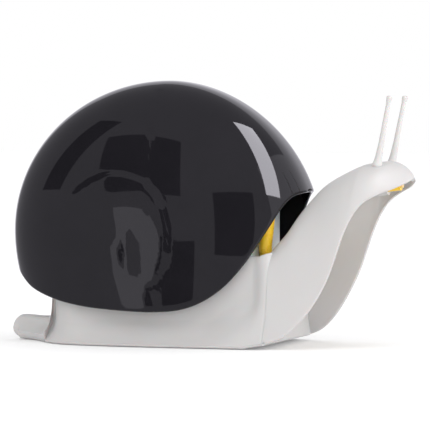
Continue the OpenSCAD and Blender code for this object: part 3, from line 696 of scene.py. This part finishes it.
# %% Material helper
def moulded(name, pale, deep, rough, grain, grain_size, spread=0.06, **shader):
    """Principled shader: colour from two tones by slow noise, roughness from a second noise
    within spread, and a bump from fine noise."""
    finish = bpy.data.materials.new(name)
    finish.use_nodes = True
    nodes, links = finish.node_tree.nodes, finish.node_tree.links
    surface = nodes["Principled BSDF"]
    place = nodes.new("ShaderNodeTexCoord").outputs["Object"]

    def noise(size, detail):
        """Noise whose features are about size metres across."""
        node = nodes.new("ShaderNodeTexNoise")
        node.inputs["Scale"].default_value = 1 / size
        node.inputs["Detail"].default_value = detail
        links.new(place, node.inputs["Vector"])
        return node.outputs["Fac"]

    tone = nodes.new("ShaderNodeMix")
    tone.data_type = "RGBA"
    tone.inputs[6].default_value = (*pale, 1)
    tone.inputs[7].default_value = (*deep, 1)
    links.new(noise(0.02, 3), tone.inputs[0])
    links.new(tone.outputs[2], surface.inputs["Base Color"])
    span = nodes.new("ShaderNodeMapRange")
    span.inputs["To Min"].default_value = max(0.02, rough - spread)
    span.inputs["To Max"].default_value = rough + spread
    links.new(noise(0.006, 4), span.inputs["Value"])
    links.new(span.outputs["Result"], surface.inputs["Roughness"])
    bump = nodes.new("ShaderNodeBump")
    bump.inputs["Strength"].default_value = 1.0
    bump.inputs["Distance"].default_value = grain
    links.new(noise(grain_size, 2), bump.inputs["Height"])
    links.new(bump.outputs["Normal"], surface.inputs["Normal"])
    for socket, value in shader.items():
        surface.inputs[socket.replace("_", " ")].default_value = value
    return finish


# %% Finishes of this snail
finishes = {
    "shell_black": moulded("polished black", (0.008, 0.0075, 0.0095), (0.012, 0.011, 0.014),
                           0.035, 0.000004, 0.012, 0.012),
    "body_white": moulded("matte warm white", (0.56, 0.55, 0.545), (0.535, 0.525, 0.52),
                          0.55, 0.000015, 0.0006, Subsurface_Weight=0.12,
                          Subsurface_Scale=0.004),
    "tentacle_white": moulded("soft white", (0.62, 0.61, 0.60), (0.59, 0.58, 0.57),
                              0.5, 0.00001, 0.0005, Subsurface_Weight=0.15,
                              Subsurface_Scale=0.003),
    "pad_rubber": moulded("grey rubber", (0.5, 0.5, 0.49), (0.43, 0.43, 0.42), 0.7,
                          0.00004, 0.0008),
    "bottle_white": moulded("milky bottle", (0.92, 0.92, 0.90), (0.88, 0.88, 0.86), 0.3,
                            0.00002, 0.004, Subsurface_Weight=0.3, Subsurface_Scale=0.006),
    "pump_white": moulded("pump plastic", (0.82, 0.82, 0.81), (0.78, 0.78, 0.77), 0.3,
                          0.000008, 0.002),
    "gasket_rubber": moulded("gasket", (0.55, 0.55, 0.55), (0.48, 0.48, 0.48), 0.65,
                             0.00002, 0.001),
    "tube_clear": moulded("natural tube", (0.80, 0.82, 0.82), (0.74, 0.76, 0.76), 0.3,
                          0.00001, 0.002, Subsurface_Weight=0.3, Subsurface_Scale=0.002),
    "valve_steel": moulded("polished steel", (0.62, 0.62, 0.64), (0.54, 0.54, 0.56), 0.18,
                           0.000002, 0.0005, Metallic=1.0),
    "piston_grey": moulded("grey piston", (0.5, 0.5, 0.5), (0.44, 0.44, 0.44), 0.45,
                           0.00001, 0.001),
    "spring_steel": moulded("drawn wire", (0.56, 0.56, 0.58), (0.46, 0.46, 0.48), 0.3,
                            0.000006, 0.0004, Metallic=1.0),
    "hose_yellow": moulded("yellow silicone", (0.95, 0.60, 0.035), (0.88, 0.54, 0.025),
                           0.28, 0.000012, 0.0015, Subsurface_Weight=0.25,
                           Subsurface_Scale=0.003),
    "clip_white": moulded("clip plastic", (0.56, 0.55, 0.545), (0.535, 0.525, 0.52), 0.5,
                          0.00001, 0.0006),
    "valve_silicone": moulded("pale yellow silicone", (0.82, 0.66, 0.30),
                              (0.76, 0.60, 0.25), 0.35, 0.00001, 0.001,
                              Subsurface_Weight=0.2, Subsurface_Scale=0.002),
    "socket_grey": moulded("dark socket", (0.10, 0.10, 0.10), (0.08, 0.08, 0.08), 0.5,
                           0.00001, 0.0008)}

# %% Paint every piece and every node that still shows
new_pieces = {shell: "shell_black", neck: "body_white", tub: "body_white",
              plate: "body_white", left_pin: "tentacle_white", right_pin: "tentacle_white",
              upper_hose: "hose_yellow", lower_hose: "hose_yellow",
              bottle: "bottle_white"}
slot_of = {row["node"]: row["material_slot"] for row in frame["record"]["subparts"]}


def paint(piece, finish):
    """Puts one finish on a piece, in place of whatever it had."""
    piece.data.materials.clear()
    piece.data.materials.append(finishes[finish])


for piece, finish in new_pieces.items():
    paint(piece, finish)
shown = [name for name, node in frame["nodes"].items() if not node.hide_render]
for name in shown:
    paint(frame["nodes"][name], slot_of[name])
print("carried over", shown)

# %% [markdown]
# ## The studio
# A white floor lies under the snail and the room is bright all round, so shadows stay
# faint. Two soft lamps give the white body its slight shading, and mirrors don't see them.
# The floor glows a little, so that it is as white as the room behind it.

# %% Floor and room light
def sheet(name, corners, finish, mirrors_only):
    """A flat studio sheet between four corners."""
    mesh = bpy.data.meshes.new(name)
    mesh.from_pydata([list(map(float, c)) for c in corners], [], [[0, 1, 2, 3]])
    piece = bpy.data.objects.new(name, mesh)
    bpy.context.collection.objects.link(piece)
    mesh.materials.append(finish)
    if mirrors_only:
        piece.visible_camera = piece.visible_diffuse = piece.visible_shadow = False
        piece.visible_transmission = False
    return piece


def card(name, middle, across, up, finish, mirrors_only):
    """A sheet through middle, with half sides across and up."""
    middle, across, up = (np.array(v, float) for v in (middle, across, up))
    corners = [middle - across - up, middle + across - up, middle + across + up,
               middle - across + up]
    return sheet(name, corners, finish, mirrors_only)


def glow(name, colour, strength):
    """A plain light-giving finish for studio cards."""
    finish = bpy.data.materials.new(name)
    finish.use_nodes = True
    nodes, links = finish.node_tree.nodes, finish.node_tree.links
    nodes.remove(nodes["Principled BSDF"])
    lamp = nodes.new("ShaderNodeEmission")
    lamp.inputs["Color"].default_value = (*colour, 1)
    lamp.inputs["Strength"].default_value = strength
    links.new(lamp.outputs["Emission"], nodes["Material Output"].inputs["Surface"])
    return finish


floor_white = bpy.data.materials.new("studio floor")
floor_white.use_nodes = True
floor_sockets = floor_white.node_tree.nodes["Principled BSDF"].inputs
floor_sockets["Base Color"].default_value = (0.93, 0.93, 0.93, 1)
floor_sockets["Roughness"].default_value = 0.9
floor_sockets["Emission Color"].default_value = (1, 1, 1, 1)
floor_sockets["Emission Strength"].default_value = 0.08
floor = card("floor", (0, 0, 0), (6, 0, 0), (0, 6, 0), floor_white, False)
floor.visible_glossy = False

room = bpy.data.worlds.new("bright room")
room.use_nodes = True
room_sockets = room.node_tree.nodes["Background"].inputs
room_sockets["Color"].default_value = (1.0, 1.0, 1.0, 1)
room_sockets["Strength"].default_value = 1.0
bpy.context.scene.world = room
bpy.context.scene.view_settings.view_transform = "Standard"


# %% Lamps
def soft_box(name, place, aim, size, watts):
    """A square area lamp at place that looks at aim."""
    lamp = bpy.data.lights.new(name, "AREA")
    lamp.size, lamp.energy = size, watts
    holder = bpy.data.objects.new(name, lamp)
    bpy.context.collection.objects.link(holder)
    holder.location = place
    way = holder.location - type(holder.location)(aim)
    holder.rotation_euler = way.to_track_quat("Z", "Y").to_euler()
    return holder


key = soft_box("key lamp", (-0.5, -1.1, 1.3), (0, 0, 0.06), 0.9, 4)
fill = soft_box("fill lamp", (1.5, -0.6, 0.45), (0.05, 0, 0.06), 0.6, 10)
for lamp in (key, fill):
    lamp.visible_glossy = False


# %% [markdown]
# ## What the shell mirrors
# A polished black shell shows almost nothing but its surroundings. Six plain walls, seen by
# mirrors only, make it dark grey in the middle and paler at its rim. Darker and lighter
# sheets in front of them are its windows and shades. One bright sheet, in front on the
# right, draws the pale band down the front of the shell. They could also be an image of a
# room, but sheets need no file and each can be moved by itself.

# %% Walls and windows in the mirror
def seen_from_shell(turn, lift, reach):
    """A place reach metres off, turn degrees from the right side towards the face and lift
    degrees up."""
    a, b = np.radians(turn), np.radians(lift)
    return reach * np.array([np.sin(a) * np.cos(b), -np.cos(a) * np.cos(b), np.sin(b)])


def window(name, corners, finish, reach):
    """A sheet that only mirrors see, between corners given as pairs of turn and lift."""
    places = [seen_from_shell(turn, lift, reach) for turn, lift in corners]
    sheet(name, places, finish, True)


dark, dusk, pale, bright = (glow(name, (1.0, 0.98, 1.06), strength) for name, strength in
                            (("dark card", 0.03), ("dusk card", 0.4), ("pale card", 0.95),
                             ("bright card", 9.0)))
for side, middle, across, up, finish in (
        ("front wall", (0, -3, 0), (3, 0, 0), (0, 0, 3), dusk),
        ("left wall", (-3, 0, 0), (0, 3, 0), (0, 0, 3), dusk),
        ("right wall", (3, 0, 0), (0, 3, 0), (0, 0, 3), pale),
        ("back wall", (0, 3, 0), (3, 0, 0), (0, 0, 3), pale),
        ("ceiling", (0, 0, 3), (3, 0, 0), (0, 3, 0), dusk),
        ("under floor", (0, 0, -3), (3, 0, 0), (0, 3, 0), dusk)):
    card(side, middle, across, up, finish, True)
window("slanting shade", [(-72, 14), (-56, 14), (-46, 46), (-66, 46)], dark, 1.9)
window("high shade", [(-44, 36), (-6, 38), (-6, 14), (-36, 12)], dark, 1.9)
window("face shade", [(7, 17), (31, 21), (27, -10), (7, -8)], dark, 1.9)
window("low shade", [(-13, -3), (-1, -3), (-1, -24), (-14, -24)], dark, 1.9)
window("pale wall", [(-30, 4), (-19, 5), (-18, -26), (-30, -26)], pale, 1.95)
window("tall soft box", [(44, 22), (62, 22), (110, 60), (70, 68)], bright, 1.8)

# %% [markdown]
# ## The camera
# A long lens, 18 degrees round towards the snail's face and a little above its back.

# %% Camera
view_lens = bpy.data.cameras.new("camera")
view_lens.lens, view_lens.sensor_width = 289.4, 36.0
view_lens.clip_end = 50
camera = bpy.data.objects.new("camera", view_lens)
bpy.context.collection.objects.link(camera)
camera.location = (0.5717, -1.7595, 0.1324)
view_way = camera.location - type(camera.location)((0.00244, 0.00079, 0.0687))
camera.rotation_euler = view_way.to_track_quat("Z", "Y").to_euler()
bpy.context.scene.camera = camera

# %% [markdown]
# ## Sizes
# The box of the imported model is printed again at the end. Dressing the snail is not
# meant to make it bigger.

# %% Size of the imported model
print("CAD box", cad_box)
